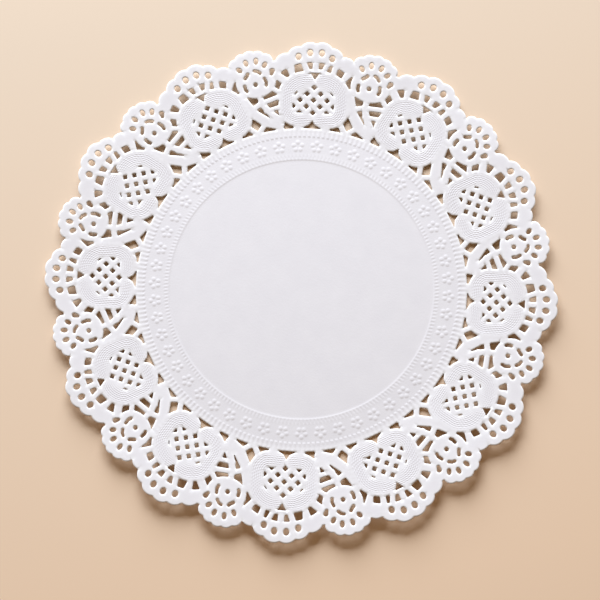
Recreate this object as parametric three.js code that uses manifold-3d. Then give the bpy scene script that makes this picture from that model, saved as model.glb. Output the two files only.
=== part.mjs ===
// A round paper doily: one pressed, die-cut sheet. A plain disc lies flat inside two raised rings, and
// a lace rim of twelve like repeats round it lifts a little off the table, more on one side.
// Millimetres, +Z up, origin at the centre of the flat underside.
//
// A repeat has two drawing frames. Each is turned about the origin, with v pointing outward along its
// axis and u to the right of it. One frame has the medallion on its axis, the other the rosette.
import * as THREE from "three";
import { mergeVertices } from "three/addons/utils/BufferGeometryUtils.js";
import Module from "manifold-3d";

// The whole sheet
const SHEET = 1.0;
const REPEATS = 12;
const MEDALLION_BEARING = 85.9; // degrees from +X to the first medallion's axis
const ROSETTE_TURN = 14.66; // degrees clockwise from a medallion's axis to its rosette's axis
const BASE_RADIUS = 118.5; // outline at the notches between the scallop groups
const LACE_START = 81.6; // outer edge of the solid middle
const OPEN_RADIUS = 111.4; // the openwork reaches this far out between the medallions

// The repeats aren't spaced quite evenly: slow waves of the bearing turn them, in degrees anticlockwise,
// and push the lace outward, in mm. All of the pattern inside the scallops lies a little further out.
const TURN_WAVES = [
  { count: 1, size: 0.93, crest: 132 },
  { count: 2, size: 0.61, crest: 140 },
];
const PUSH_WAVES = [
  { count: 3, size: 0.45, crest: 33 },
  { count: 4, size: 0.36, crest: 56 },
];
const PUSH_START = 82;
const PUSH_FULL = 94;
const SPREAD = { size: 0.45, full: 112, end: 120 };

// Two raised rings
const RIDGE_RISE = 0.35;
const RIDGES = [
  { inner: 65.7, outer: 68.3 },
  { inner: 77.6, outer: 81.3 },
];

// The lace rim slopes up from straight folds round the solid middle to these heights at the tips
const FOLDS = 12;
const FOLD_DISTANCE = 82.0;
const TIP_RADIUS = 127.2;
const LIFT_MEAN = 3.4;
const LIFT_TILT = 1.4;
const LIFT_BEARING = 285; // degrees from +X to the side that rises most

// Facets
const RING_SIDES = 84;
const RIDGE_SIDES = 48;
const ARCH_SIDES = 30;
const ROSETTE_SIDES = 20;
const LOBE_SIDES = 14;
const FAN_SIDES = 12;
const HOLE_SIDES = 8;
const MEDALLION_STEPS = 3; // half the facets of a corner arc

// The medallion's four corner arcs, from the lower right one round to the lower left one
const MEDALLION_ARCS = [
  { u: 7.3, v: 92.1, radius: 10.5 },
  { u: 3.8, v: 97.5, radius: 14.2 },
  { u: -3.8, v: 97.5, radius: 14.2 },
  { u: -6.9, v: 92.1, radius: 10.1 },
];
// The arch of the scalloped band over the medallion
const ARCH = { u: -0.6, v: 92.1, radius: 24.4 };

// Ribbons of paper, each row a list of nodes [u, v, width]
const MEDALLION_RIBBONS = [
  { name: "foot", nodes: [[0, 80.8, 17.4], [0, 83.5, 17.4]] },
  { name: "bridge over the cusp", nodes: [[-4.2, 111.7, 2.2], [4.2, 111.7, 2.2]] },
  { name: "spoke on the axis", nodes: [[0, 112.0, 3.0], [0, 118.8, 3.0]] },
  { name: "first spoke left", nodes: [[-4.0, 111.4, 2.8], [-6.4, 117.1, 2.8]] },
  { name: "first spoke right", nodes: [[4.0, 111.4, 2.4], [6.4, 116.8, 2.7]] },
  { name: "second spoke left", nodes: [[-10.9, 108.4, 2.3], [-12.7, 114.6, 4.5]] },
  { name: "second spoke right", nodes: [[8.4, 108.9, 2.4], [10.0, 114.6, 3.1]] },
  { name: "shoulder bar left", nodes: [[-14.1, 105.0, 3.0], [-20.0, 109.5, 3.7]] },
  { name: "shoulder bar right", nodes: [[12.9, 105.9, 2.3], [17.1, 112.1, 4.5]] },
];
const ROSETTE_RIBBONS = [
  {
    name: "leaf stem",
    nodes: [
      [6.9, 80.7, 3.5],
      [5.8, 83.4, 3.7],
      [1.1, 86.5, 5.6],
      [-4.2, 92.2, 5.0],
      [-6.4, 97.0, 4.4],
      [-8.6, 102.9, 3.2],
    ],
  },
  {
    name: "thin stem",
    nodes: [
      [6.6, 84.0, 5.0],
      [5.7, 88.3, 3.9],
      [3.2, 91.9, 3.3],
      [1.0, 96.1, 3.2],
      [0, 102.0, 2.5],
    ],
  },
  { name: "root bar", nodes: [[5.9, 85.5, 3.4], [10.9, 86.0, 3.4]] },
  { name: "left rung", nodes: [[-5.0, 94.4, 2.8], [0.5, 97.3, 2.8]] },
  { name: "right rung", nodes: [[0.5, 97.1, 2.7], [9.4, 98.7, 2.7]] },
  { name: "lower rung", nodes: [[2.0, 92.6, 2.4], [8.9, 93.5, 2.4]] },
  { name: "bar under the rosette", nodes: [[6.0, 104.8, 2.5], [10.4, 100.5, 2.5]] },
  { name: "bar beside the rosette", nodes: [[9.6, 111.4, 3.5], [14.6, 106.2, 3.0]] },
  { name: "left strut", nodes: [[-8.4, 85.6, 2.7], [-4.7, 81.2, 2.7]] },
  { name: "right strut", nodes: [[-4.2, 81.0, 2.7], [-0.5, 85.1, 2.7]] },
];

// The rosette's body: an oval foot under an upright block
const ROSETTE_FOOT = { u: -0.1, v: 107.7, across: 9.7, along: 7.6 };
const ROSETTE_BODY = { u: -0.1, low: 107.7, high: 114.5, width: 19.4 };

// Scallops: over the medallion one row a lobe, over the rosette a fan of equal lobes
const MEDALLION_LOBES = [
  { u: -14.6, v: 115.4, radius: 5.7 },
  { u: -8.7, v: 119.3, radius: 5.6 },
  { u: -3.1, v: 121.5, radius: 5.7 },
  { u: 2.7, v: 121.5, radius: 5.8 },
  { u: 7.9, v: 119.1, radius: 5.4 },
  { u: 14.2, v: 114.8, radius: 5.3 },
];
const FAN = { u: -0.7, v: 111.1, reach: 10.9, radius: 3.6, step: 21.5, lobes: 5 };

// Cuts, each row the corners [u, v] of one hole with straight sides
const MEDALLION_CUTS = [
  { name: "upper cusp", corners: [[-2.2, 110.7], [0, 107.3], [2.2, 110.7]] },
  {
    name: "lower cusp",
    corners: [
      [-4.6, 81.6],
      [4.6, 81.6],
      [1.5, 83.3],
      [0, 85.7],
      [-1.5, 83.3],
    ],
  },
];

// Oval holes, each row its centre
const HOLE = { across: 1.55, along: 2.15 };
const MEDALLION_HOLES = [
  { u: -8.7, v: 119.3 },
  { u: -3.1, v: 121.6 },
  { u: 2.7, v: 121.6 },
  { u: 7.9, v: 118.9 },
];

const wasm = await Module();
wasm.setup();

const radians = (degrees) => (degrees * Math.PI) / 180;

// A closed three.js geometry as a solid that can be joined and cut
function solid(geometry) {
  const bare = geometry.clone();
  bare.deleteAttribute("normal");
  bare.deleteAttribute("uv");
  const shared = mergeVertices(bare, 1e-4);
  return new wasm.Manifold(
    new wasm.Mesh({
      numProp: 3,
      vertProperties: new Float32Array(shared.attributes.position.array),
      triVerts: new Uint32Array(shared.index.array),
    }),
  );
}

// Moves a point of the even pattern to its place on the sheet
function displace(point) {
  const radius = point.length();
  const bearing = point.angle();
  const sum = (waves) =>
    waves.reduce((total, { count, size, crest }) => total + size * Math.cos(count * (bearing - radians(crest))), 0);
  const spread = SPREAD.size * (1 - THREE.MathUtils.smoothstep(radius, SPREAD.full, SPREAD.end));
  const push = sum(PUSH_WAVES) * THREE.MathUtils.smoothstep(radius, PUSH_START, PUSH_FULL);
  point.setLength(radius + spread + push);
  point.rotateAround(new THREE.Vector2(), radians(sum(TURN_WAVES)));
}

// An upright prism of a flat shape, turned about the origin by some degrees
function prism(shape, low, high, turn = 0) {
  const geometry = new THREE.ExtrudeGeometry(shape, {
    depth: high - low,
    bevelEnabled: false,
    curveSegments: MEDALLION_STEPS,
  });
  geometry.translate(0, 0, low);
  geometry.rotateZ(radians(turn));
  const place = geometry.attributes.position;
  for (let i = 0; i < place.count; i += 1) {
    const point = new THREE.Vector2(place.getX(i), place.getY(i));
    displace(point);
    place.setXY(i, point.x, point.y);
  }
  return solid(geometry);
}

function cornered(corners) {
  return new THREE.Shape(corners.map(([u, v]) => new THREE.Vector2(u, v)));
}

function oval(u, v, across, along, sides) {
  const corners = [];
  for (let i = 0; i < sides; i += 1) {
    const angle = ((i + 0.5) / sides) * 2 * Math.PI;
    corners.push([u + across * Math.cos(angle), v + along * Math.sin(angle)]);
  }
  return cornered(corners);
}

function round(u, v, radius, sides) {
  return oval(u, v, radius, radius, sides);
}

// A strip through its nodes, as wide at each node as the node says
function ribbon(nodes) {
  const left = [];
  const right = [];
  nodes.forEach(([u, v, width], i) => {
    const before = nodes[Math.max(i - 1, 0)];
    const after = nodes[Math.min(i + 1, nodes.length - 1)];
    const along = new THREE.Vector2(after[0] - before[0], after[1] - before[1]).normalize();
    left.push([u - (along.y * width) / 2, v + (along.x * width) / 2]);
    right.unshift([u + (along.y * width) / 2, v - (along.x * width) / 2]);
  });
  return cornered([...right, ...left]);
}

// Four quarter turns with straight stretches between them
function medallion() {
  const shape = new THREE.Shape();
  MEDALLION_ARCS.forEach(({ u, v, radius }, i) => {
    shape.absarc(u, v, radius, ((i - 1) * Math.PI) / 2, (i * Math.PI) / 2);
  });
  return shape;
}

function rosetteFoot() {
  const { u, v, across, along } = ROSETTE_FOOT;
  return oval(u, v, across, along, ROSETTE_SIDES);
}

function rosetteBody() {
  const { u, low, high, width } = ROSETTE_BODY;
  return ribbon([[u, low, width], [u, high, width]]);
}

// Degrees by which each repeat's medallion frame is turned
function repeats() {
  const turns = [];
  for (let i = 0; i < REPEATS; i += 1) {
    turns.push(MEDALLION_BEARING - 90 - (i * 360) / REPEATS);
  }
  return turns;
}

const join = (parts) => parts.reduce((whole, part) => whole.add(part));

// Cutters run past the sheet, and what stays of them runs past the cutters
const CUT = [-2, SHEET + 10];
const KEEP = [-3, SHEET + 11];

function outline() {
  const parts = [prism(round(0, 0, BASE_RADIUS, RING_SIDES), ...CUT)];
  for (const turn of repeats()) {
    for (const { u, v, radius } of MEDALLION_LOBES) {
      parts.push(prism(round(u, v, radius, LOBE_SIDES), ...CUT, turn));
    }
    for (let i = 0; i < FAN.lobes; i += 1) {
      const lean = radians((i - (FAN.lobes - 1) / 2) * FAN.step);
      const tip = [FAN.u + FAN.reach * Math.sin(lean), FAN.v + FAN.reach * Math.cos(lean)];
      parts.push(prism(round(...tip, FAN.radius, FAN_SIDES), ...CUT, turn - ROSETTE_TURN));
      parts.push(prism(ribbon([[FAN.u, FAN.v, 2], [...tip, 2 * FAN.radius]]), ...CUT, turn - ROSETTE_TURN));
    }
  }
  return join(parts);
}

function paperInOpenwork() {
  const parts = [prism(round(0, 0, LACE_START, RING_SIDES), ...KEEP)];
  for (const turn of repeats()) {
    parts.push(prism(medallion(), ...KEEP, turn));
    for (const { nodes } of MEDALLION_RIBBONS) {
      parts.push(prism(ribbon(nodes), ...KEEP, turn));
    }
    parts.push(prism(rosetteFoot(), ...KEEP, turn - ROSETTE_TURN));
    parts.push(prism(rosetteBody(), ...KEEP, turn - ROSETTE_TURN));
    for (const { nodes } of ROSETTE_RIBBONS) {
      parts.push(prism(ribbon(nodes), ...KEEP, turn - ROSETTE_TURN));
    }
  }
  return join(parts);
}

function gaps() {
  const open = [prism(round(0, 0, OPEN_RADIUS, RING_SIDES), ...CUT)];
  const cuts = [];
  for (const turn of repeats()) {
    open.push(prism(round(ARCH.u, ARCH.v, ARCH.radius, ARCH_SIDES), ...CUT, turn));
    cuts.push(...MEDALLION_CUTS.map(({ corners }) => prism(cornered(corners), ...CUT, turn)));
    for (const { u, v } of MEDALLION_HOLES) {
      cuts.push(prism(oval(u, v, HOLE.across, HOLE.along, HOLE_SIDES), ...CUT, turn));
    }
  }
  return join(open).subtract(paperInOpenwork()).add(join(cuts));
}

// A ring of rectangular section about the origin
function ring({ inner, outer }, low, high) {
  const section = [
    new THREE.Vector2(inner, low),
    new THREE.Vector2(outer, low),
    new THREE.Vector2(outer, high),
    new THREE.Vector2(inner, high),
    new THREE.Vector2(inner, low),
  ];
  return solid(new THREE.LatheGeometry(section, RIDGE_SIDES).rotateX(Math.PI / 2));
}

// The uncut sheet: a flat middle inside straight folds, and one plane facet sloping up from each fold.
// Two neighbouring facets meet along the line from their folds' shared corner on which both are as high.
function bowl() {
  const half = Math.PI / FOLDS;
  const bearing = (i) => radians(LIFT_BEARING) + i * 2 * half;
  const slope = (i) => {
    const tip = LIFT_MEAN + LIFT_TILT * Math.cos(bearing(i) - radians(LIFT_BEARING));
    return tip / (TIP_RADIUS - FOLD_DISTANCE);
  };
  const facing = (i) => new THREE.Vector2(Math.cos(bearing(i)), Math.sin(bearing(i)));
  const corner = FOLD_DISTANCE / Math.cos(half);
  const rim = TIP_RADIUS + 10;
  const section = [
    new THREE.Vector2(0, 0),
    new THREE.Vector2(corner, 0),
    new THREE.Vector2(rim, 0),
    new THREE.Vector2(rim, SHEET),
    new THREE.Vector2(corner, SHEET),
    new THREE.Vector2(0, SHEET),
  ];
  const geometry = new THREE.LatheGeometry(section, FOLDS).rotateX(Math.PI / 2).rotateZ(bearing(0) + half);
  const place = geometry.attributes.position;
  for (let i = 0; i < place.count; i += 1) {
    const at = new THREE.Vector2(place.getX(i), place.getY(i));
    if (at.length() > corner + 1) {
      const right = Math.floor((at.angle() - bearing(0)) / (2 * half));
      const fold = at.clone().setLength(corner);
      const along = facing(right)
        .multiplyScalar(slope(right))
        .sub(facing(right + 1).multiplyScalar(slope(right + 1)))
        .rotateAround(new THREE.Vector2(), Math.PI / 2);
      along.multiplyScalar(Math.sign(along.dot(fold))).setLength(rim - corner);
      const rise = slope(right) * facing(right).dot(along);
      place.setXYZ(i, fold.x + along.x, fold.y + along.y, place.getZ(i) + rise);
    }
  }
  return solid(geometry);
}

function sheet() {
  let whole = bowl().intersect(outline());
  for (const ridge of RIDGES) {
    whole = whole.add(ring(ridge, SHEET / 2, SHEET + RIDGE_RISE));
  }
  const { vertProperties, triVerts } = whole.subtract(gaps()).getMesh();
  const geometry = new THREE.BufferGeometry();
  geometry.setAttribute("position", new THREE.BufferAttribute(new Float32Array(vertProperties), 3));
  geometry.setIndex(new THREE.BufferAttribute(new Uint32Array(triVerts), 1));
  return geometry;
}

const paper = new THREE.MeshStandardMaterial({ color: 0xe7e5e7, roughness: 0.9, metalness: 0 });
const doilySheet = new THREE.Mesh(sheet(), paper);
doilySheet.name = "doily_sheet";

const doily = new THREE.Group();
doily.add(doilySheet);

export default doily;
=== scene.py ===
"""Paper doily: one pressed, die-cut sheet with its lace rim, laid on a plain pale surface."""
import math

import bpy
import numpy as np
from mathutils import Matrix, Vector
from mathutils.geometry import delaunay_2d_cdt


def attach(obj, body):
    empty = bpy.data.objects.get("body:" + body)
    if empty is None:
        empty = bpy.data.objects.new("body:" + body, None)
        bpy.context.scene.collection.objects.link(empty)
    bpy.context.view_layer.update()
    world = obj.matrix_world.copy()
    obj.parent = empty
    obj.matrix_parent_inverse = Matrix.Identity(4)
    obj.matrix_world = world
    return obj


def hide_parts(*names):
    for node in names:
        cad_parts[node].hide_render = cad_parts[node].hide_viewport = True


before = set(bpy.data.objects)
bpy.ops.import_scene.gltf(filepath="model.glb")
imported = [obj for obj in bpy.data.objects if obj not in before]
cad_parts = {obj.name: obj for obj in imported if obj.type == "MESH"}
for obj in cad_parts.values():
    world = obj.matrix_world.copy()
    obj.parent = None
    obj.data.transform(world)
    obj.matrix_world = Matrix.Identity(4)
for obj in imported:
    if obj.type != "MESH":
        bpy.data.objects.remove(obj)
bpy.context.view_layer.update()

bl_info = {
    "name": "Paper doily",
    "version": (1, 0, 0),
    "blender": (4, 5, 0),
    "location": "3D View > Sidebar > Doily",
    "description": "Builds a round embossed paper doily with a die-cut lace rim",
    "category": "Add Mesh",
}

MM = 0.001
FAR = 1e9
TINY = 1e-9

# Lengths of the pattern are in mm and its angles in degrees, anticlockwise from +X unless a comment
# says otherwise. The pattern has twelve like repeats. A repeat has a medallion frame, with v outward
# along the medallion's axis and u to the right of it, and a rosette frame turned clockwise from it.
REPEATS = 12
REPEAT_DEG = 360 / REPEATS
MEDALLION_BEARING = 85.9
ROSETTE_TURNS = (14.66, 14.66 - REPEAT_DEG)

# The repeats aren't spaced quite evenly. Waves of the bearing turn them and push the lace outward:
# count round the sheet, size, bearing of a crest. The pattern between the two pairs of spread
# radii lies a little further out.
TURN_WAVES = ((1, 0.93, 132), (2, 0.61, 140))
PUSH_WAVES = ((3, 0.45, 33), (4, 0.36, 56))
PUSH_RADII = (82, 94)
SPREAD = 0.45
SPREAD_RADII = (58, 64, 112, 120)

# Rings of the solid middle: the small step, the two mouldings with their ticks, the flowers
STEP = (64.75, 65.45)
INNER_RING = (65.3, 67.9)
OUTER_RING = (77.2, 80.9)
LACE_START = 81.6
INNER_TICKS = 234
OUTER_TICKS = 216
FLOWERS = 50
FLOWER_BEARING = 4.35

# Outline and openwork: radius of the edge between the scallops, how far the openwork reaches out
# between the medallions, the arch over each (u, v, radius), the tips, and fillets in the corners
BASE_RADIUS = 118.5
OPEN_RADIUS = 111.4
ARCH = (-0.6, 92.1, 24.4)
TIP_RADIUS = 127.2
FILLET = 0.6
LOBE_FILLET = 0.3

# The medallion's corner arcs: upper right, upper left, lower left, lower right (u, v, radius)
MEDALLION_ARCS = ((3.8, 97.5, 14.2), (-3.8, 97.5, 14.2), (-6.9, 92.1, 10.1), (7.3, 92.1, 10.5))
# Its foot: half the width, v of the middle, half the height
MEDALLION_FOOT = (8.7, 81.3, 2.2)
# Ribbons of paper: u, v and width at each node
MEDALLION_RIBBONS = (
    ((-4.2, 111.7, 2.2), (4.2, 111.7, 2.2)),
    ((0, 112.0, 3.0), (0, 118.8, 3.0)),
    ((-4.0, 111.4, 2.8), (-6.4, 117.1, 2.8)),
    ((4.0, 111.4, 2.4), (6.4, 116.8, 2.7)),
    ((-10.9, 108.4, 2.3), (-12.7, 114.6, 4.5)),
    ((8.4, 108.9, 2.4), (10.0, 114.6, 3.1)),
    ((-14.1, 105.0, 3.0), (-20.0, 109.5, 3.7)),
    ((12.9, 105.9, 2.3), (17.1, 112.1, 4.5)),
)
ROSETTE_RIBBONS = (
    (
        (6.9, 80.7, 3.5),
        (5.8, 83.4, 3.7),
        (1.1, 86.5, 5.6),
        (-4.2, 92.2, 5.0),
        (-6.4, 97.0, 4.4),
        (-8.6, 102.9, 3.2),
    ),
    ((6.6, 84.0, 5.0), (5.7, 88.3, 3.9), (3.2, 91.9, 3.3), (1.0, 96.1, 3.2), (0, 102.0, 2.5)),
    ((5.9, 85.5, 2.4), (10.9, 86.0, 2.4)),
    ((-5.0, 94.4, 2.8), (0.5, 97.3, 2.8)),
    ((0.5, 97.1, 2.7), (9.4, 98.7, 2.7)),
    ((2.0, 92.6, 2.4), (8.9, 93.5, 2.4)),
    ((6.0, 104.8, 2.5), (10.4, 100.5, 2.5)),
    ((9.6, 111.4, 3.5), (14.6, 106.2, 3.0)),
    ((-8.4, 85.6, 2.7), (-4.7, 81.2, 2.7)),
    ((-4.2, 81.0, 2.7), (-0.5, 85.1, 2.7)),
)
# The rosette's oval foot: u, v, half across, half along. Its body: u, half the width, low and high v
ROSETTE_FOOT = (-0.1, 107.7, 9.7, 7.6)
ROSETTE_BODY = (-0.1, 9.7, 107.7, 114.5)
# Scallops: u, v and radius of each lobe over the medallion, and a fan of equal lobes on the rosette,
# each on a strip that is as wide as the root says at the fan's centre
MEDALLION_LOBES = (
    (-14.6, 115.4, 5.7),
    (-8.7, 119.3, 5.6),
    (-3.1, 121.5, 5.7),
    (2.7, 121.5, 5.8),
    (7.9, 119.1, 5.4),
    (14.2, 114.8, 5.3),
)
FAN = {
    "centre": (-0.7, 111.1),
    "root": 2.0,
    "reach": 10.9,
    "radius": 3.6,
    "step": 21.5,
    "lobes": 5,
}

# Flowers: how many petals, and radius of the flowers' ring, of the circle of petals and of a petal
PETALS = 5
FLOWER_RING = 72.3
FLOWER_CIRCLE = 2.05
PETAL_RADIUS = 1.1

# Holes: the corners of the medallion's cusps, the centres and half sizes of the oval holes, the
# rosette's eye with its radius, and the slots as ribbons
MEDALLION_CUTS = (
    ((-2.2, 110.7), (0, 107.3), (2.2, 110.7)),
    ((-4.6, 81.6), (4.6, 81.6), (1.5, 83.3), (0, 85.7), (-1.5, 83.3)),
)
MEDALLION_HOLES = ((-8.7, 119.3), (-3.1, 121.6), (2.7, 121.6), (7.9, 118.9))
MEDALLION_HOLE = (1.45, 1.75)
ROSETTE_HOLES = ((-6.9, 116.3), (-3.0, 119.4), (2.1, 119.4), (5.9, 116.6))
ROSETTE_HOLE = (1.15, 1.75)
ROSETTE_EYE = (-0.5, 107.2, 1.1)
ROSETTE_SLOTS = (
    ((-4.9, 111.3, 1.7), (-3.8, 112.4, 1.7), (-3.2, 113.3, 1.7)),
    ((0.3, 114.4, 1.5), (1.6, 113.9, 1.6), (2.8, 112.6, 1.6)),
    ((4.4, 109.4, 1.5), (4.9, 107.4, 1.6), (4.6, 105.9, 1.6)),
    ((-5.9, 107.3, 1.7), (-5.8, 105.6, 1.7), (-5.3, 104.7, 1.6)),
    ((8.2, 111.1, 1.7), (8.9, 112.6, 2.5)),
)
# The lattice: its centre, the step of its slanting grid both across and along, half a diamond's
# diagonal, the slit beside its top, and the oval frame round it
LATTICE_CENTRE = (0.0, 96.7)
LATTICE_STEP = 3.3
DIAMOND = 1.42
LATTICE_SLIT = ((9.3, 99.4, 0.5), (8.2, 100.7, 0.5))
LATTICE_CLIP = (
    (0, 106.4),
    (9.4, 99.6),
    (10.2, 93.1),
    (8.7, 90.0),
    (3.0, 90.0),
    (0, 86.4),
    (-3.0, 90.0),
    (-8.7, 90.0),
    (-10.2, 93.1),
    (-9.4, 99.6),
)

# Bands of rings that make up the middle: radii, points in a ring, and whether every other ring is
# turned by half a step. The last band meets the lace.
LACE_COLUMNS = OUTER_TICKS * 4
UNDER_COLUMNS = 216
TOP_BANDS = (
    ((8.0,), 24, False),
    ((18.0, 29.0), 72, False),
    ((39.0, 47.0, 54.0), 144, False),
    ((59.0, 62.0), 288, False),
    ((64.0,), 576, False),
    ((64.75, 65.1, 65.45, 65.95, 66.6, 67.3, 67.95), INNER_TICKS * 4, False),
    (tuple(np.linspace(68.6, 76.4, 20)), FLOWERS * 22, True),
    ((76.9, 77.2, 77.5, 77.9, 78.9, 79.9, 80.4), LACE_COLUMNS, False),
)
UNDER_BANDS = (
    ((30.0,), 24, False),
    ((54.0, 63.5), 96, False),
    ((64.6, 65.2, 65.8, 72.0, 77.0, 79.0), UNDER_COLUMNS, False),
)

# Points of the lace. The fine mesh runs past the tips, and its rows lie a share of the mesh step
# apart. Slopes are taken over a nudge. A point moves onto an edge that is within a share of the
# step, if little is left and it doesn't move far; a side that still crosses an edge is halved a
# few times to find where.
PAST_TIPS = 1.0
FINE_ROW_SHARE = 0.9
RING_MARGIN = 0.2
NUDGE = 0.02
LEAST_SLOPE = 0.5
SNAP_REACH = 0.32
SNAP_LEFT = 0.06
SNAP_MOVE = 0.4
HALVINGS = 5
# Rows of points that follow the edges inside the paper: depth and spacing, and the share of the
# depth that a point keeps to every edge
EDGE_ROWS = ((0.3, 0.42), (0.75, 0.7))
DEPTH_KEPT = 0.8
# Grids elsewhere: spacing on the medallions' rims and off them, distance between rows as a share of
# the spacing, radius at which the spacing is true, and how far the points stay from an edge
RIM_SPACING = 0.9
PLAIN_SPACING = 1.6
ROW_SHARE = 0.87
LACE_MIDDLE = 104
EDGE_MARGIN = 1.1
# Depth of the middle of a medallion's rim, and how far the finer grid reaches to both sides of it
RIM_DEPTH = 1.1
RIM_REACH = 1.3
# Spacing of the underside's rings, and how far its points stay from an edge
UNDER_SPACING = 3
UNDER_MARGIN = 1.2
MERGE_DISTANCE = 1e-7

# Form: where the lace starts to rise, and the rim's slow waves: count, height, phase in radians
RISE_START = 79.5
RIM_WAVES = ((5, 0.22, 0.7), (9, 0.16, 2.1), (13, 0.1, 0.0))

# The pressed pattern, each height as a share of the embossing's: the inner ring and its grooves,
# which end short of its edges; the outer ring's bars with a ledge at their inner end, and the
# grooves between them; the flowers; and the medallion's rim between two depths, with its
# shoulders, which starts at some radius
INNER_SHARE = 0.3
INNER_GROOVE = 0.7
GROOVE_ENDS = (0.6, 0.5)
BAR_SHARE = 0.4
LEDGE_SHARE = 0.3
LEDGE_WIDTH = 1.1
BAR_GROOVE = 1.6
FLOWER_SHARE = 0.75
RIM_SHARE = 0.6
MEDALLION_RIM = (0.45, 1.65, 0.5)
RIM_START = LACE_START + 2

# Cut edges: share of the thickness that the upper face keeps there, share of the embossing that it
# keeps, share of the thickness at which the two faces meet, and how far in the painted highlight
# along them reaches
EDGE_THICKNESS = 0.45
EDGE_EMBOSSING = 0.2
EDGE_MEETING = 0.3
HIGHLIGHT_WIDTH = 1.0
SHARP_DEGREES = 75
# Depths in a medallion that the material is given. Beads fade in between two depths, and between
# two distances from the lattice.
DEPTH_RANGE = (-1, 20)
BEADED_DEPTHS = (1.6, 2.2)
BEADED_FROM_LATTICE = (0.7, 1.3)

# Paper, in metres. Its fibres are about 0.03 mm wide, too fine to show, so they are drawn as the
# 0.9 mm mottling that they make together. Its cloudy formation is some 12 mm across.
CLOUD_SIZE = 0.012
FIBRE_SIZE = 0.0009
FIBRE_HEIGHT = 0.00008
FIBRE_STRENGTH = 0.4
BEAD_SHARE = 0.7

# The floor, in metres: half its side, how far it lies under the sheet so that the two don't touch,
# the direction in which painted shade makes it darker and greyer, and the distance over which it
# does to both sides. Towards the other side, painted light makes it paler and warmer.
FLOOR_REACH = 2.6
FLOOR_DROP = 0.00002
PAINTED_SHADE_SIDE = (-0.2, 0.98, 0)
BLEND_REACH = 0.15

# The key light: distance and size in metres, and the angle that its light spreads over
KEY_DISTANCE = 1.45
KEY_SIZE = (1.4, 0.85)
KEY_SPREAD = 110
# The camera: width of its sensor in mm, and the nearest and furthest that it sees in metres
SENSOR = 36.0
CLIP = (0.01, 20.0)


def linear(code):
    """An sRGB hex colour as linear RGBA."""
    values = [int(code[i:i + 2], 16) / 255 for i in (0, 2, 4)]
    return [v / 12.92 if v <= 0.04045 else ((v + 0.055) / 1.055) ** 2.4 for v in values] + [1.0]


def smooth(low, high, x):
    """0 below low, 1 above high, an even S between them."""
    t = np.clip((x - low) / (high - low), 0, 1)
    return t * t * (3 - 2 * t)


# Distances: each function gives the distance of points to a form's edge, negative inside it


def joined(a, b, fillet=FILLET):
    """Union of two distances, with a fillet of some mm in the corner between them."""
    h = np.clip(0.5 + 0.5 * (b - a) / fillet, 0, 1)
    return b + (a - b) * h - fillet * h * (1 - h)


def strip(u, v, nodes):
    """Rounded strip through its nodes: distance to each stretch less half the width there."""
    found = np.full(np.shape(u), FAR)
    for (u0, v0, w0), (u1, v1, w1) in zip(nodes, nodes[1:]):
        du, dv = u1 - u0, v1 - v0
        t = np.clip(((u - u0) * du + (v - v0) * dv) / (du * du + dv * dv), 0, 1)
        away = np.hypot(u - u0 - t * du, v - v0 - t * dv) - (w0 + (w1 - w0) * t) / 2
        found = np.minimum(found, away)
    return found


def oval(u, v, across, along):
    """Upright oval about the origin: the scaled radius less one, over the size of its slope."""
    scaled = np.hypot(u / across, v / along)
    size = np.maximum(np.hypot(u / across ** 2, v / along ** 2), TINY)
    return scaled * (scaled - 1) / size


def cornered(u, v, corners):
    """Straight-sided form: the least distance to a side, negative where a ray crosses oddly."""
    found = np.full(np.shape(u), FAR)
    inside = np.zeros(np.shape(u), bool)
    for (u0, v0), (u1, v1) in zip(corners, corners[1:] + corners[:1]):
        du, dv = u1 - u0, v1 - v0
        t = np.clip(((u - u0) * du + (v - v0) * dv) / (du * du + dv * dv), 0, 1)
        found = np.minimum(found, np.hypot(u - u0 - t * du, v - v0 - t * dv))
        if v0 != v1:
            inside ^= ((v0 > v) != (v1 > v)) & (u < u0 + (v - v0) * du / dv)
    return np.where(inside, -found, found)


def medallion(u, v):
    """Four corner arcs with straight stretches between them, one arc a quarter of the plane."""
    upper_right, upper_left, lower_left, lower_right = MEDALLION_ARCS

    def quarter(arc, side, up):
        a, b = side * (u - arc[0]), up * (v - arc[1])
        rounded = np.hypot(np.maximum(a, 0), np.maximum(b, 0))
        return np.where((a > 0) | (b > 0), rounded, np.maximum(a, b)) - arc[2]

    corners = [
        quarter(upper_right, 1, 1),
        quarter(upper_left, -1, 1),
        quarter(lower_left, -1, -1),
        quarter(lower_right, 1, -1),
    ]
    return np.maximum.reduce(corners)


def lattice(u, v):
    """Diamonds on a slanting grid: three by three whole ones, and those round them cut by an oval
    frame, with a slit on either side at the top. A diamond is where the distances across and along
    add up to less than half its diagonal."""
    holes = np.full(np.shape(u), FAR)
    frame_edge = cornered(u, v, LATTICE_CLIP)
    for i in range(-2, 3):
        for j in range(-2, 3):
            if abs(i + j) > 2 or abs(i) + abs(j) > 3:
                continue
            away = np.abs(u - LATTICE_CENTRE[0] - (i - j) * LATTICE_STEP)
            away = away + np.abs(v - LATTICE_CENTRE[1] - (i + j) * LATTICE_STEP)
            diamond = (away - DIAMOND) / math.sqrt(2)
            if max(abs(i), abs(j)) == 2:
                diamond = np.maximum(diamond, frame_edge)
            holes = np.minimum(holes, diamond)
    for side in (-1, 1):
        holes = np.minimum(holes, strip(side * u, v, LATTICE_SLIT))
    return holes


def aimed(u, v, centre, middle, across, along):
    """Oval whose long way points from a middle to its own centre."""
    du, dv = centre[0] - middle[0], centre[1] - middle[1]
    size = math.hypot(du, dv)
    a, b = du / size, dv / size
    x, y = u - centre[0], v - centre[1]
    return oval(x * b - y * a, x * a + y * b, across, along)


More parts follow.
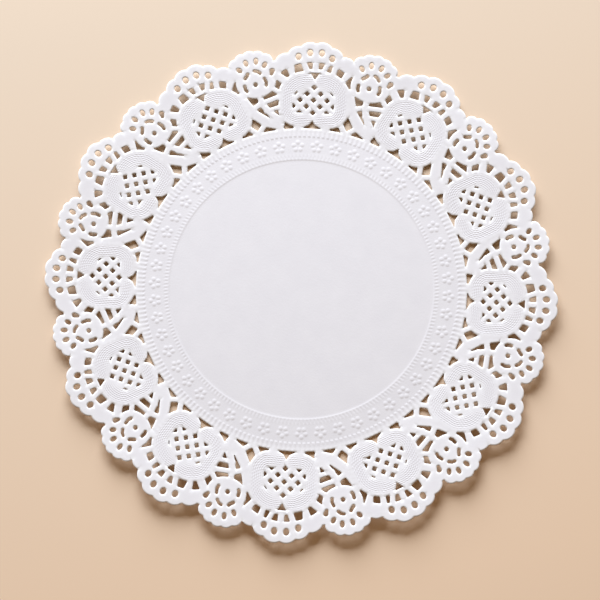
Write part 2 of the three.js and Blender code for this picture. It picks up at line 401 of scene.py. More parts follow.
def medallion_paper(u, v):
    """Medallion joined with its bridge, spokes and bars, and with an oblong foot."""
    paper = medallion(u, v)
    for nodes in MEDALLION_RIBBONS:
        paper = joined(paper, strip(u, v, nodes))
    half_width, middle_v, half_height = MEDALLION_FOOT
    foot = np.maximum(np.abs(u) - half_width, np.abs(v - middle_v) - half_height)
    return joined(paper, foot)


def medallion_gaps(u, v):
    """The two cusps, the oval holes and the lattice."""
    holes = lattice(u, v)
    for corners in MEDALLION_CUTS:
        holes = np.minimum(holes, cornered(u, v, corners))
    for centre in MEDALLION_HOLES:
        holes = np.minimum(holes, aimed(u, v, centre, (0, 0), *MEDALLION_HOLE))
    return holes


def rosette_paper(u, v):
    """Oval foot under an upright block, joined with its stems, rungs and struts."""
    foot = oval(u - ROSETTE_FOOT[0], v - ROSETTE_FOOT[1], *ROSETTE_FOOT[2:])
    u0, half_width, low, high = ROSETTE_BODY
    body = np.maximum(np.abs(u - u0) - half_width, np.maximum(low - v, v - high))
    paper = joined(foot, body)
    for nodes in ROSETTE_RIBBONS:
        paper = joined(paper, strip(u, v, nodes))
    return paper


def rosette_gaps(u, v):
    """The eye, the slots round it and the oval holes."""
    holes = np.hypot(u - ROSETTE_EYE[0], v - ROSETTE_EYE[1]) - ROSETTE_EYE[2]
    for nodes in ROSETTE_SLOTS:
        holes = np.minimum(holes, strip(u, v, nodes))
    for centre in ROSETTE_HOLES:
        holes = np.minimum(holes, aimed(u, v, centre, ROSETTE_EYE[:2], *ROSETTE_HOLE))
    return holes


def fan_lobes(u, v):
    """Five lobes at equal turns about the fan's centre, each with the strip that carries it."""
    found = np.full(np.shape(u), FAR)
    u0, v0 = FAN["centre"]
    for i in range(FAN["lobes"]):
        lean = math.radians((i - (FAN["lobes"] - 1) / 2) * FAN["step"])
        tip = (u0 + FAN["reach"] * math.sin(lean), v0 + FAN["reach"] * math.cos(lean))
        nodes = ((u0, v0, FAN["root"]), (*tip, 2 * FAN["radius"]))
        found = joined(found, strip(u, v, nodes), LOBE_FILLET)
    return found


def medallion_lobes(u, v):
    """Six round lobes: the distance to each centre less its radius."""
    found = np.full(np.shape(u), FAR)
    for u0, v0, radius in MEDALLION_LOBES:
        found = joined(found, np.hypot(u - u0, v - v0) - radius, LOBE_FILLET)
    return found


def displaced(x, y):
    """Where points of the even pattern lie on the real sheet: turned about the centre by waves of
    the bearing, and pushed outward by other waves that grow over the first part of the lace."""
    r, bearing = np.hypot(x, y), np.arctan2(y, x)

    def total(waves):
        return sum(
            size * np.cos(count * (bearing - math.radians(highest)))
            for count, size, highest in waves
        )

    spread = SPREAD * smooth(*SPREAD_RADII[:2], r) * (1 - smooth(*SPREAD_RADII[2:], r))
    out = r + spread + total(PUSH_WAVES) * smooth(*PUSH_RADII, r)
    turned = bearing + np.radians(total(TURN_WAVES))
    return out * np.cos(turned), out * np.sin(turned)


def local(x, y):
    """Radius, and degrees clockwise from the nearest medallion's axis, of points of the sheet."""
    r = np.hypot(x, y)
    turned = MEDALLION_BEARING - np.degrees(np.arctan2(y, x))
    return r, turned - REPEAT_DEG * np.round(turned / REPEAT_DEG)


def drawn(r, degrees):
    """u and v in the frame that lies some degrees anticlockwise of the points."""
    a = np.radians(degrees)
    return r * np.sin(a), r * np.cos(a)


def outline(r, turned):
    """The scalloped edge: a round base with the lobes of medallion and rosettes joined to it."""
    edge = joined(r - BASE_RADIUS, medallion_lobes(*drawn(r, turned)), LOBE_FILLET)
    for turn in ROSETTE_TURNS:
        edge = joined(edge, fan_lobes(*drawn(r, turned - turn)), LOBE_FILLET)
    return edge


def lace(x, y):
    """Distance to the edge of the paper, negative in it. Within the outline, the openwork has
    the paper forms alone, and outside it a solid band; the holes are taken out of both."""
    r, turned = local(x, y)
    u, v = drawn(r, turned)
    forms = joined(r - LACE_START, medallion_paper(u, v))
    holes = medallion_gaps(u, v)
    opened = np.minimum(r - OPEN_RADIUS, np.hypot(u - ARCH[0], v - ARCH[1]) - ARCH[2])
    for turn in ROSETTE_TURNS:
        u, v = drawn(r, turned - turn)
        forms = joined(forms, rosette_paper(u, v))
        holes = np.minimum(holes, rosette_gaps(u, v))
    band = joined(forms, -opened)
    return np.maximum(np.maximum(band, outline(r, turned)), -holes)


# The sheet's surfaces


def stitched(inner, outer, phase=0.0):
    """Triangles between two closed rings of unlike counts, given as numbers of points. Walking
    round both at once, each point that is reached closes one triangle with the last two. The
    inner ring may be turned by a part of its step."""
    n, m = len(inner), len(outer)
    angles = np.concatenate([(np.arange(n) + 1 + phase) / n, (np.arange(m) + 1) / m])
    ring = np.repeat([0, 1], [n, m])
    ring = ring[np.lexsort((ring, angles))]
    a = np.concatenate([[0], np.cumsum(ring == 0)])
    b = np.concatenate([[0], np.cumsum(ring == 1)])
    reached = np.where(ring == 0, inner[a[1:] % n], outer[b[1:] % m])
    return np.stack([inner[a[:-1] % n], outer[b[:-1] % m], reached], 1)


def rings(radii, count, stagger):
    """Points of circles, every other one turned by half a step where they are staggered."""
    i, j = np.meshgrid(np.arange(len(radii)), np.arange(count), indexing="ij")
    angle = 2 * np.pi * (j + (0.5 * (i % 2) if stagger else 0)) / count
    r = np.asarray(radii)[i]
    return np.stack([r * np.cos(angle), r * np.sin(angle)], -1).reshape(-1, 2)


def ring_triangles(rows, count, stagger):
    """Two triangles for each cell between neighbouring circles, anticlockwise from above."""
    i, j = np.meshgrid(np.arange(rows - 1), np.arange(count), indexing="ij")
    low, low_next = i * count + j, i * count + (j + 1) % count
    top, top_next = low + count, low_next + count
    slant = np.broadcast_to((i % 2 == 1)[..., None] if stagger else True, i.shape + (3,))
    cells = (
        ((low, top, top_next), (low, top, low_next)),
        ((low, top_next, low_next), (low_next, top, top_next)),
    )
    halves = [np.where(slant, np.stack(one, -1), np.stack(other, -1)) for one, other in cells]
    return np.concatenate(halves).reshape(-1, 3)


def slopes(points, field, value):
    """Change of a field over a nudge along x and along y."""
    x, y = points.T
    return np.stack([field(x + NUDGE, y) - value, field(x, y + NUDGE) - value], 1)


def cut(points, triangles, field, step):
    """The part of a flat mesh where a distance field is negative. Points close to the zero line
    move onto it, and each side that still crosses it gets a point there."""
    value = field(*points.T)
    slope = slopes(points, field, value) / NUDGE
    size = np.maximum((slope ** 2).sum(1), LEAST_SLOPE ** 2)
    moved = points - (value / size)[:, None] * slope
    near = np.abs(value) < SNAP_REACH * step
    near &= np.abs(field(*moved.T)) < SNAP_LEFT * step
    near &= np.hypot(*(moved - points).T) < SNAP_MOVE * step
    points = np.where(near[:, None], moved, points)
    value = np.where(near, 0.0, value)

    out = value > 0
    count = out[triangles].sum(1)
    whole = triangles[count == 0]
    on_line = (value[whole] == 0).all(1)
    whole = whole[~on_line | (field(*points[whole].mean(1).T) < 0)]

    def lone_first(found, flag):
        lead = flag[found].argmax(1)
        return np.take_along_axis(found, (lead[:, None] + np.arange(3)) % 3, 1)

    one_out = lone_first(triangles[count == 1], out)
    one_in = lone_first(triangles[count == 2], ~out)
    ends = ([0, 1], [0, 2])
    sides = np.concatenate([lone[:, end] for lone in (one_out, one_in) for end in ends])
    pairs, index = np.unique(np.sort(sides, 1), axis=0, return_inverse=True)
    index = index.reshape(-1)
    a, b = points[pairs[:, 0]], points[pairs[:, 1]]
    fa, fb = value[pairs[:, 0]], value[pairs[:, 1]]
    low, high = np.zeros(len(pairs)), np.ones(len(pairs))
    rising = np.where(fb > fa, 1, -1)
    t = np.clip(fa / np.where(fa == fb, 1, fa - fb), 0, 1)
    for _ in range(HALVINGS):
        here = field(*(a + (b - a) * t[:, None]).T) * rising
        low, high = np.where(here < 0, t, low), np.where(here < 0, high, t)
        t = (low + high) / 2
    number = len(points) + np.arange(len(pairs))
    number = np.where(fa == 0, pairs[:, 0], np.where(fb == 0, pairs[:, 1], number))
    points = np.concatenate([points, a + (b - a) * t[:, None]])
    n, m = len(one_out), len(one_in)
    ab, ac = number[index[:n]], number[index[n:2 * n]]
    left, right = number[index[2 * n:2 * n + m]], number[index[2 * n + m:]]
    found = np.concatenate(
        [
            whole,
            np.stack([ab, one_out[:, 1], one_out[:, 2]], 1),
            np.stack([ab, one_out[:, 2], ac], 1),
            np.stack([one_in[:, 0], left, right], 1),
        ]
    )
    return points, found[~(found == np.roll(found, 1, 1)).any(1)]


def loops(triangles):
    """Sides that only one triangle has, each directed with its triangle on the left."""
    sides = np.concatenate([triangles[:, [0, 1]], triangles[:, [1, 2]], triangles[:, [2, 0]]])
    _, index, uses = np.unique(np.sort(sides, 1), axis=0, return_inverse=True, return_counts=True)
    return sides[uses[index.reshape(-1)] == 1]


def inset(points, field, depth):
    """Points moved some mm into the paper against the slope of its distance, less those that
    come too near another edge."""
    slope = slopes(points, field, field(*points.T))
    moved = points - depth * slope / np.maximum(np.hypot(*slope.T), TINY)[:, None]
    return moved[field(*moved.T) < -DEPTH_KEPT * depth]


def thinned(points, size):
    """One point from each square of a grid."""
    return points[np.sort(np.unique(np.round(points / size), axis=0, return_index=True)[1])]


def filled(points, sides):
    """Delaunay triangles over the points on the left of the directed sides. A triangle with a
    side of theirs is in or out by its direction, and the others follow their neighbours."""
    places = [Vector(point) for point in points.tolist()]
    made = delaunay_2d_cdt(places, sides.tolist(), [], 0, MERGE_DISTANCE, True)
    if len(made[0]) != len(points):
        raise RuntimeError("two points of the lace lie on each other")
    order = np.array([found[0] for found in made[3]])
    triangles = order[np.array(made[2])]
    a, b, c = (points[triangles[:, i]] for i in range(3))
    area = np.cross(b - a, c - a)
    triangles = np.where(area[:, None] < 0, triangles[:, ::-1], triangles)

    count = len(points)
    edge = triangles * count + np.roll(triangles, -1, 1)
    back = np.roll(triangles, -1, 1) * count + triangles
    limit = sides[:, 0] * count + sides[:, 1]
    state = np.isin(edge, limit).any(1) * 1 - np.isin(back, limit).any(1) * 1
    number = np.argsort(edge.ravel())
    place = np.clip(np.searchsorted(edge.ravel()[number], back.ravel()), 0, len(number) - 1)
    match = edge.ravel()[number][place] == back.ravel()
    walled = np.isin(edge, limit) | np.isin(back, limit)
    beside = np.where(match & ~walled.ravel(), number[place] // 3, -1).reshape(-1, 3)
    while True:
        seen = np.where(beside >= 0, state[beside], 0)
        told = np.where(state == 0, np.sign(seen.sum(1)), state)
        if (told == state).all():
            break
        state = told
    return triangles[state > 0]


def middle(bands, start, rim):
    """The round middle as rings of points about its centre, each band of rings with its own
    count, numbered from start and stitched to the rim's points at the end."""
    points, triangles = [np.zeros((1, 2))], []
    number = start + 1
    last, phase = None, 0.0
    for radii, count, stagger in bands:
        ring = number + np.arange(count)
        points.append(rings(radii, count, stagger))
        if last is None:
            triangles.append(np.stack([np.full(count, start), ring, np.roll(ring, -1)], 1))
        else:
            triangles.append(stitched(last, ring, phase))
        triangles.append(ring_triangles(len(radii), count, stagger) + number)
        last = ring + (len(radii) - 1) * count
        phase = 0.5 if stagger and len(radii) % 2 == 0 else 0.0
        number += len(radii) * count
    triangles.append(stitched(last, rim, phase))
    return np.concatenate(points), np.concatenate(triangles)


def lace_points(step):
    """Points of the lace: its edges from a fine mesh, two rows of points that follow them inside
    the paper, and a grid that is finer on the medallions' rims. Gives the points, how many are on
    the inner ring and the edges, and the directed sides."""
    start_radius, end_radius = OUTER_RING[1], TIP_RADIUS + PAST_TIPS
    rows = int(round((end_radius - start_radius) / (FINE_ROW_SHARE * step)))
    columns = 2 * LACE_COLUMNS
    radii = np.linspace(start_radius, end_radius, rows)
    flat, found = cut(rings(radii, columns, True), ring_triangles(rows, columns, True), lace, step)
    sides = loops(found)
    outside = np.hypot(*flat[sides].transpose(2, 0, 1)) > start_radius + RING_MARGIN
    sides = sides[outside.all(1)]
    used, sides = np.unique(sides, return_inverse=True)
    edges = flat[used]
    ring = rings((start_radius,), LACE_COLUMNS, False)
    sides = sides.reshape(-1, 2) + len(ring)
    number = np.arange(len(ring))
    sides = np.concatenate([np.stack([np.roll(number, -1), number], 1), sides])

    inner = [thinned(inset(edges, lace, depth), spacing) for depth, spacing in EDGE_ROWS]
    for spacing, rim in ((RIM_SPACING, True), (PLAIN_SPACING, False)):
        grid_rows = int((end_radius - start_radius) / (ROW_SHARE * spacing))
        radii = start_radius + ROW_SHARE * spacing * (1 + np.arange(grid_rows))
        grid = rings(radii, int(2 * math.pi * LACE_MIDDLE / spacing), True)
        u, v = drawn(*local(*grid.T))
        near_rim = np.abs(-medallion(u, v) - RIM_DEPTH) < RIM_REACH
        inner.append(grid[(near_rim == rim) & (lace(*grid.T) < -EDGE_MARGIN)])
    return np.concatenate([ring, edges, *inner]), len(ring) + len(edges), sides


def sheet_mesh(step):
    """Top and underside as one closed mesh: flat points, triangles and, for each point, 1 on
    top, -1 underneath and 0 on the cut edges, where the two faces meet."""
    flat, bound, sides = lace_points(step)
    found = filled(flat, sides)
    ring = np.arange(LACE_COLUMNS)
    radii = np.arange(OUTER_RING[1] + UNDER_SPACING, TIP_RADIUS, UNDER_SPACING)
    grid = rings(radii, UNDER_COLUMNS, True)
    grid = grid[lace(*grid.T) < -UNDER_MARGIN]
    below = np.concatenate([flat[:bound], grid])
    found_below = filled(below, sides)

    # The underside has ring and grid points of its own, and shares those of the cut edges
    under = np.arange(len(below))
    under[ring] = len(flat) + ring
    under[bound:] = len(flat) + LACE_COLUMNS + np.arange(len(grid))
    side = np.ones(len(flat))
    side[LACE_COLUMNS:bound] = 0
    start = len(flat) + LACE_COLUMNS + len(grid)
    top, top_faces = middle(TOP_BANDS, start, ring)
    low, low_faces = middle(UNDER_BANDS, start + len(top), under[ring])
    points = np.concatenate([flat, flat[ring], grid, top, low])
    sign = np.repeat([-1.0, 1.0, -1.0], [LACE_COLUMNS + len(grid), len(top), len(low)])
    faces = np.concatenate([found, under[found_below][:, ::-1], top_faces, low_faces[:, ::-1]])
    used, faces = np.unique(faces, return_inverse=True)
    return points[used], faces.reshape(-1, 3), np.concatenate([side, sign])[used]


def form(x, y, sizes):
    """Height of the underside. The sheet is a very shallow dish, as high as the square of the
    radius, that touches the table at its centre. A small step leads up to the ring band. The lace
    slopes up from it to the tips, more on one side, with slow waves that grow by the square of
    the way out."""
    r, bearing = np.hypot(x, y), np.arctan2(y, x)
    dish = sizes.dish * (r / OUTER_RING[1]) ** 2 + sizes.band_height * smooth(*STEP, r)
    slope = sizes.lift + sizes.lift_tilt * np.cos(bearing - math.radians(sizes.lift_bearing))
    waves = sum(height * np.sin(count * bearing + phase) for count, height, phase in RIM_WAVES)
    t = np.clip((r - RISE_START) / (TIP_RADIUS - RISE_START), 0, 1)
    return dish + slope * t + waves * t ** 2


def crest(r, low, high, shoulder=0.4):
    """A flat-topped ridge between two radii, with shoulders of some mm that straddle them."""
    half = shoulder / 2
    return smooth(low - half, low + half, r) * (1 - smooth(high - half, high + half, r))


def grooves(count, bearing):
    """0 on radial bars and 1 in the narrow grooves between them: the cube of how far a point is
    from its bar's middle."""
    t = count * bearing / (2 * np.pi)
    return (2 * np.abs(t - np.round(t))) ** 3


def flowers(r, bearing):
    """Round petals on a circle about each flower's middle: flat domes that fall by the fourth
    power of the distance from a petal's own middle."""
    step = 2 * np.pi / FLOWERS
    bearing = bearing - math.radians(FLOWER_BEARING)
    across, out = FLOWER_RING * (bearing - step * np.round(bearing / step)), r - FLOWER_RING
    found = np.zeros(np.shape(r))
    for petal in np.arange(PETALS) * 2 * np.pi / PETALS:
        u0, v0 = FLOWER_CIRCLE * math.sin(petal), FLOWER_CIRCLE * math.cos(petal)
        away = np.hypot(across - u0, out - v0) / PETAL_RADIUS
        found = np.maximum(found, np.clip(1 - away ** 4, 0, None))
    return found


def embossing(x, y, sizes):
    """Height of the pressed pattern over the plain sheet: an inner ring with even edges and
    radial grooves within, an outer ring of radial bars, flowers between them, and the smooth rim
    round each medallion."""
    r, bearing = np.hypot(x, y), np.arctan2(y, x)
    low, high = INNER_RING
    within = crest(r, low + GROOVE_ENDS[0], high - GROOVE_ENDS[1])
    inner = INNER_SHARE * crest(r, low, high) - INNER_GROOVE * within * grooves(INNER_TICKS, bearing)
    low, high = OUTER_RING
    bars = BAR_SHARE * crest(r, low, high) + LEDGE_SHARE * crest(r, low, low + LEDGE_WIDTH)
    outer = bars * (1 - BAR_GROOVE * grooves(OUTER_TICKS, bearing))
    depth = -medallion(*drawn(*local(x, y)))
    rim = crest(depth, *MEDALLION_RIM) * (r > RIM_START)
    return sizes.emboss * (inner + outer + FLOWER_SHARE * flowers(r, bearing) + RIM_SHARE * rim)


def build_mesh(name, points, triangles):
    """A smooth-shaded mesh object of points in metres, linked to the scene at the origin."""
    mesh = bpy.data.meshes.new(name)
    mesh.vertices.add(len(points))
    mesh.vertices.foreach_set("co", points.astype(np.float32).ravel())
    mesh.loops.add(triangles.size)
    mesh.loops.foreach_set("vertex_index", triangles.astype(np.int32).ravel())
    mesh.polygons.add(len(triangles))
    mesh.polygons.foreach_set("loop_start", np.arange(0, triangles.size, 3, dtype=np.int32))
    mesh.polygons.foreach_set("loop_total", np.full(len(triangles), 3, np.int32))
    mesh.polygons.foreach_set("use_smooth", np.ones(len(triangles), bool))
    mesh.update(calc_edges=True)
    mesh.validate()
    piece = bpy.data.objects.new(name, mesh)
    bpy.context.scene.collection.objects.link(piece)
    return piece


def doily(sizes):
    """The finished sheet: the flat mesh raised to its form, with the thickness and the embossing
    on the top face, which falls to the cut edges by the square of the way to them."""
    flat, triangles, side = sheet_mesh(sizes.mesh_step)
    x, y = flat.T
    inward = np.clip(-lace(x, y), 0, None)
    crown = 1 - (1 - np.clip(inward / sizes.shoulder, 0, 1)) ** 2
    low = form(x, y, sizes)
    body = sizes.thickness * (EDGE_THICKNESS + (1 - EDGE_THICKNESS) * crown)
    top = low + body + embossing(x, y, sizes) * np.clip(crown, EDGE_EMBOSSING, 1)
    z = np.where(side > 0, top, np.where(side < 0, low, low + EDGE_MEETING * sizes.thickness))
    piece = build_mesh("doily_paper", np.stack([*displaced(x, y), z], 1) * MM, triangles)
    mesh = piece.data
    mesh.set_sharp_from_angle(angle=math.radians(SHARP_DEGREES))

    # What the material reads at each point
    u, v = drawn(*local(x, y))
    depth = -medallion(u, v)
    from_lattice = smooth(*BEADED_FROM_LATTICE, cornered(u, v, LATTICE_CLIP))
    beaded = smooth(*BEADED_DEPTHS, depth) * from_lattice * (side > 0)
    about = np.stack([u, v - LATTICE_CENTRE[1], u * 0], 1)
    for name, kind, field, values in (
        ("medallion_depth", "FLOAT", "value", np.clip(depth, *DEPTH_RANGE)),
        # edge: where the painted highlight shows, 1 on a cut edge and fading over about a mm into
        # the paper
        ("edge", "FLOAT", "value", np.exp(-inward / HIGHLIGHT_WIDTH)),
        ("beaded", "FLOAT", "value", beaded),
        ("medallion_place", "FLOAT_VECTOR", "vector", about),
    ):
        attribute = mesh.attributes.new(name, kind, "POINT")
        attribute.data.foreach_set(field, values.astype(np.float32).ravel())
    return piece


# Materials


def add(tree, kind, inputs=None, **settings):
    """A node with its settings; an input is a value, or an output socket that is linked to it."""
    node = tree.nodes.new(kind)
    for name, value in settings.items():
        setattr(node, name, value)
    for name, value in (inputs or {}).items():
        if isinstance(value, bpy.types.NodeSocket):
            tree.links.new(value, node.inputs[name])
        else:
            node.inputs[name].default_value = value
    return node


def blank(name):
    """A material with an empty node tree."""
    material = bpy.data.materials.new(name)
    material.use_nodes = True
    material.node_tree.nodes.clear()
    return material, material.node_tree


def wave(tree, value, rate):
    """0 to 1 and back as the value grows: half of one plus its sine, at so many radians a unit."""
    turned = add(tree, "ShaderNodeMath", {0: value, 1: rate}, operation="MULTIPLY").outputs[0]
    sine = add(tree, "ShaderNodeMath", {0: turned}, operation="SINE").outputs[0]
    half = {0: sine, 1: 0.5, 2: 0.5}
    return add(tree, "ShaderNodeMath", half, operation="MULTIPLY_ADD").outputs[0]


def embossed_paper(finish):
    """Bleached paper pressed between dies: matte and slightly cool white, with fine fibres, a
    faint cloudy formation, and closely set beaded lines inside each medallion. The lines follow
    the depth in the medallion, and their beads the angle about its middle, each line's set half
    a bead on from the last."""
    material, tree = blank("embossed_bleached_paper")
    place = add(tree, "ShaderNodeTexCoord").outputs["Object"]
    cloud = add(
        tree,
        "ShaderNodeTexNoise",
        {"Vector": place, "Scale": 1 / CLOUD_SIZE, "Detail": 3.0, "Roughness": 0.6},
    ).outputs["Fac"]
    fibre = add(
        tree,
        "ShaderNodeTexNoise",
        {"Vector": place, "Scale": 1 / FIBRE_SIZE, "Detail": 4.0, "Roughness": 0.65},
    ).outputs["Fac"]
    tint = add(
        tree,
        "ShaderNodeMix",
        {0: cloud, 6: linear(finish.shade_hex), 7: linear(finish.paper_hex)},
        data_type="RGBA",
    ).outputs[2]
    # Painted highlight: the paper's colour turns paler towards each cut edge
    edge = add(tree, "ShaderNodeAttribute", attribute_name="edge").outputs["Fac"]
    tint = add(
        tree,
        "ShaderNodeMix",
        {0: edge, 6: tint, 7: linear(finish.edge_highlight_hex)},
        data_type="RGBA",
    ).outputs[2]
    grain = add(
        tree,
        "ShaderNodeBump",
        {"Strength": FIBRE_STRENGTH, "Distance": FIBRE_HEIGHT, "Height": fibre},
    ).outputs[0]
    depth = add(tree, "ShaderNodeAttribute", attribute_name="medallion_depth").outputs["Fac"]
    beaded = add(tree, "ShaderNodeAttribute", attribute_name="beaded").outputs["Fac"]
    about = add(tree, "ShaderNodeAttribute", attribute_name="medallion_place").outputs["Vector"]
    about = add(tree, "ShaderNodeSeparateXYZ", {"Vector": about}).outputs
    ends = {0: about["Y"], 1: about["X"]}
    angle = add(tree, "ShaderNodeMath", ends, operation="ARCTAN2").outputs[0]
    lines = wave(tree, depth, 2 * math.pi / finish.line_pitch)
    half_beads = {0: depth, 1: math.pi / finish.line_pitch}
    row = add(tree, "ShaderNodeMath", half_beads, operation="MULTIPLY").outputs[0]
    turned = {0: angle, 1: finish.beads, 2: row}
    along = add(tree, "ShaderNodeMath", turned, operation="MULTIPLY_ADD").outputs[0]
    raised = {0: wave(tree, along, 1.0), 1: BEAD_SHARE, 2: 1 - BEAD_SHARE}
    height = add(tree, "ShaderNodeMath", raised, operation="MULTIPLY_ADD").outputs[0]
    for share in (lines, beaded):
        height = add(tree, "ShaderNodeMath", {0: height, 1: share}, operation="MULTIPLY").outputs[0]
    bump = add(
        tree,
        "ShaderNodeBump",
        {"Strength": 1.0, "Distance": finish.bead_height * MM, "Height": height, "Normal": grain},
    ).outputs[0]
    shader = add(
        tree,
        "ShaderNodeBsdfPrincipled",
        {"Base Color": tint, "Roughness": finish.roughness, "IOR": 1.5, "Normal": bump},
    ).outputs[0]
    add(tree, "ShaderNodeOutputMaterial", {"Surface": shader})
    return material


def painted_board(finish):
    """The surface under the doily: matte painted board, which shows neither gloss nor grain from
    where it is seen. It is warm beige, with painted light and shade across it: darker and greyer
    towards the far side, paler and warmer towards the near side."""
    material, tree = blank("matte_painted_board")
    place = add(tree, "ShaderNodeTexCoord").outputs["Object"]
    sides = {0: place, 1: PAINTED_SHADE_SIDE}
    across = add(tree, "ShaderNodeVectorMath", sides, operation="DOT_PRODUCT").outputs["Value"]
    shade_share = add(
        tree,
        "ShaderNodeMapRange",
        {"Value": across, "From Min": -BLEND_REACH, "From Max": BLEND_REACH},
    ).outputs[0]
    # Painted light and shade: the board's colour goes from paler and warmer on the near side to
    # darker and greyer on the far side
    tint = add(
        tree,
        "ShaderNodeMix",
        {0: shade_share, 6: linear(finish.floor_near_light_hex), 7: linear(finish.floor_far_shade_hex)},
        data_type="RGBA",
    ).outputs[2]
    shader = add(
        tree,
        "ShaderNodeBsdfPrincipled",
        {"Base Color": tint, "Roughness": finish.roughness},
    ).outputs[0]
    add(tree, "ShaderNodeOutputMaterial", {"Surface": shader})
    return material


# The stage


def floor(finish):
    """A square board about the origin, just under the sheet."""
    corners = np.array([[-1, -1], [1, -1], [1, 1], [-1, 1]]) * FLOOR_REACH
    corners = np.column_stack([corners, np.full(4, -FLOOR_DROP)])
    board = build_mesh("floor", corners, np.array([[0, 1, 2], [0, 2, 3]]))
    board.data.materials.append(painted_board(finish))
    return board


def key_light(studio):
    """A wide area light that faces the origin from a bearing and a height."""
    lamp = bpy.data.lights.new("key", "AREA")
    lamp.shape = "RECTANGLE"
    lamp.size, lamp.size_y = KEY_SIZE
    lamp.spread = math.radians(KEY_SPREAD)
    lamp.energy = studio.key
    lamp.color = linear(studio.key_hex)[:3]
    holder = bpy.data.objects.new("key", lamp)
    bpy.context.scene.collection.objects.link(holder)
    a, e = math.radians(studio.key_bearing), math.radians(studio.key_height)
    away = Vector((math.cos(a) * math.cos(e), math.sin(a) * math.cos(e), math.sin(e)))
    holder.location = away * KEY_DISTANCE
    holder.rotation_euler = away.to_track_quat("Z", "Y").to_euler()


def even_light(studio):
    """A world of one warm colour, which fills the shadows."""
    world = bpy.data.worlds.new("even_light")
    world.use_nodes = True
    sky = world.node_tree.nodes["Background"]
    sky.inputs["Color"].default_value = linear(studio.fill_hex)
    sky.inputs["Strength"].default_value = studio.fill
    bpy.context.scene.world = world


def camera(studio):
    """A long lens that looks steeply down. Its distance makes the frame as wide as asked at the
    target, which puts the doily where the photograph has it."""
    data = bpy.data.cameras.new("camera")
    data.lens, data.sensor_width = studio.lens, SENSOR
    holder = bpy.data.objects.new("camera", data)
    bpy.context.scene.collection.objects.link(holder)
    e = math.radians(studio.elevation)
    back = Vector((0, -math.cos(e), math.sin(e)))
    target = Vector(studio.target) * MM
    holder.location = target + back * studio.frame_width * MM * studio.lens / data.sensor_width
    holder.rotation_euler = back.to_track_quat("Z", "Y").to_euler()
    data.clip_start, data.clip_end = CLIP
    bpy.context.scene.camera = holder


# Settings


class DoilySizes(bpy.types.PropertyGroup):
    """Sizes of the sheet, in mm unless they say otherwise"""

    thickness: bpy.props.FloatProperty(
        name="Thickness", description="Sheet thickness in mm", default=0.4, min=0.1, max=1.0
    )
    band_height: bpy.props.FloatProperty(
        name="Band height", description="Rise of the ring band over the disc in mm", default=0.05
    )
    emboss: bpy.props.FloatProperty(
        name="Embossing", description="Height of rings and flowers in mm", default=0.15
    )
    shoulder: bpy.props.FloatProperty(
        name="Shoulder", description="Width of the slope at cut edges in mm", default=0.5
    )
    dish: bpy.props.FloatProperty(
        name="Dish", description="Rise of the solid middle to its rim in mm", default=0.55
    )
    lift: bpy.props.FloatProperty(
        name="Lift", description="Mean rise of the lace over the ring band in mm", default=2.1
    )
    lift_tilt: bpy.props.FloatProperty(
        name="Lift difference", description="Extra rise on the high side in mm", default=0.6
    )
    lift_bearing: bpy.props.FloatProperty(
        name="High side", description="Bearing of the high side in degrees", default=285.0
    )
    mesh_step: bpy.props.FloatProperty(
        name="Mesh step",
        description="Distance between points of the lace's edges in mm",
        default=0.45,
        min=0.2,
    )


class DoilyFinish(bpy.types.PropertyGroup):
    """Colours and surface of the paper and of the board under it"""

    paper_hex: bpy.props.StringProperty(name="Paper", description="sRGB hex", default="ECEAEE")
    shade_hex: bpy.props.StringProperty(
        name="Paper, darker", description="sRGB hex", default="E3E1E6"
    )
    # Colour of the painted highlight along the cut edges
    edge_highlight_hex: bpy.props.StringProperty(
        name="Paper, cut edges", description="sRGB hex", default="F6F6F8"
    )
    roughness: bpy.props.FloatProperty(
        name="Roughness",
        description="Roughness of the paper and the board",
        default=0.9,
        min=0,
        max=1,
        subtype="FACTOR",
    )
    line_pitch: bpy.props.FloatProperty(
        name="Line pitch", description="Distance between the beaded lines in mm", default=0.95
    )
    beads: bpy.props.IntProperty(
        name="Beads", description="Beads round a medallion's line", default=56
    )
    bead_height: bpy.props.FloatProperty(
        name="Bead height", description="Height of the beaded lines in mm", default=0.09
    )
    # Painted shade for the board's far side and painted light for its near side
    floor_far_shade_hex: bpy.props.StringProperty(
        name="Board, greyer", description="sRGB hex", default="DECBB6"
    )
    floor_near_light_hex: bpy.props.StringProperty(
        name="Board, warmer", description="sRGB hex", default="F2D5B8"
    )


class DoilyStudio(bpy.types.PropertyGroup):
    """The camera and the two lights"""

    lens: bpy.props.FloatProperty(
        name="Lens", description="Focal length", default=150.0, unit="CAMERA"
    )
    elevation: bpy.props.FloatProperty(
        name="Elevation", description="Camera height over the horizon in degrees", default=78.0
    )
    frame_width: bpy.props.FloatProperty(
        name="Frame width", description="Width seen at the doily in mm", default=297.0
    )
    target: bpy.props.FloatVectorProperty(
        name="Target", description="Point the camera looks at in mm", default=(-0.7, -6.1, 1.0)
    )
    key: bpy.props.FloatProperty(
        name="Key light", description="Power of the key light", default=24.0, unit="POWER"
    )
    key_hex: bpy.props.StringProperty(name="Key colour", description="sRGB hex", default="EEF6FF")
    key_bearing: bpy.props.FloatProperty(
        name="Key bearing", description="Direction of the key light in degrees", default=100.0
    )
    key_height: bpy.props.FloatProperty(
        name="Key height", description="Height of the key light in degrees", default=23.0
    )
    fill: bpy.props.FloatProperty(
        name="Fill", description="Strength of the even light", default=0.205
    )
    fill_hex: bpy.props.StringProperty(name="Fill colour", description="sRGB hex", default="FFD49E")


# Operators


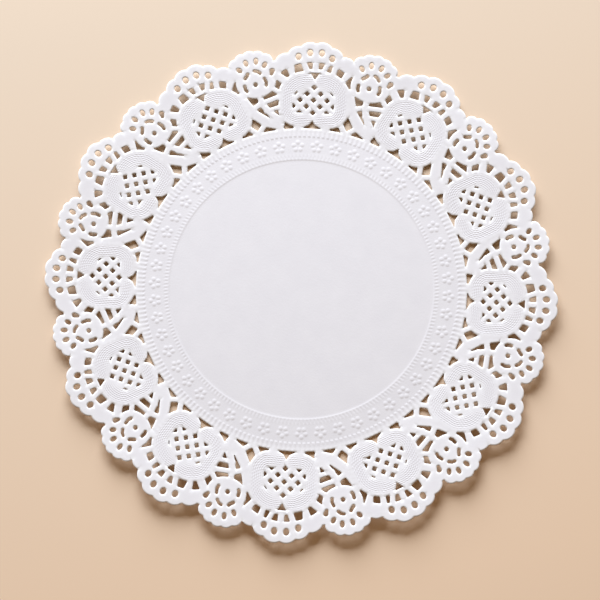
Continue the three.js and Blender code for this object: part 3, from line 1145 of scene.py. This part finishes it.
class DOILY_OT_sheet(bpy.types.Operator):
    """Build the embossed paper sheet with its lace rim"""

    bl_idname = "doily.sheet"
    bl_label = "Doily sheet"

    def execute(self, context):
        scene = context.scene
        piece = doily(scene.doily_sizes)
        piece.data.materials.append(embossed_paper(scene.doily_finish))
        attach(piece, "root")
        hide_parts("doily_sheet")
        return {"FINISHED"}


class DOILY_OT_stage(bpy.types.Operator):
    """Build the surface, the lights and the camera"""

    bl_idname = "doily.stage"
    bl_label = "Stage"

    def execute(self, context):
        scene = context.scene
        floor(scene.doily_finish)
        key_light(scene.doily_studio)
        even_light(scene.doily_studio)
        scene.view_settings.view_transform = "Standard"
        camera(scene.doily_studio)
        return {"FINISHED"}


class DOILY_PT_panel(bpy.types.Panel):
    """Sizes, finish and studio of the doily"""

    bl_idname = "DOILY_PT_panel"
    bl_label = "Paper doily"
    bl_space_type = "VIEW_3D"
    bl_region_type = "UI"
    bl_category = "Doily"

    def draw(self, context):
        scene = context.scene
        for group in (scene.doily_sizes, scene.doily_finish, scene.doily_studio):
            for name in group.__annotations__:
                self.layout.prop(group, name)
        self.layout.operator(DOILY_OT_sheet.bl_idname)
        self.layout.operator(DOILY_OT_stage.bl_idname)


CLASSES = (DoilySizes, DoilyFinish, DoilyStudio, DOILY_OT_sheet, DOILY_OT_stage, DOILY_PT_panel)


def register():
    """Classes first, then the settings that the scene keeps."""
    for item in CLASSES:
        bpy.utils.register_class(item)
    bpy.types.Scene.doily_sizes = bpy.props.PointerProperty(type=DoilySizes)
    bpy.types.Scene.doily_finish = bpy.props.PointerProperty(type=DoilyFinish)
    bpy.types.Scene.doily_studio = bpy.props.PointerProperty(type=DoilyStudio)


def unregister():
    """The settings first, then the classes in reverse."""
    del bpy.types.Scene.doily_studio
    del bpy.types.Scene.doily_finish
    del bpy.types.Scene.doily_sizes
    for item in reversed(CLASSES):
        bpy.utils.unregister_class(item)


def main():
    """Builds the sheet and the stage."""
    register()
    bpy.ops.doily.sheet()
    bpy.ops.doily.stage()


if __name__ == "__main__":
    main()
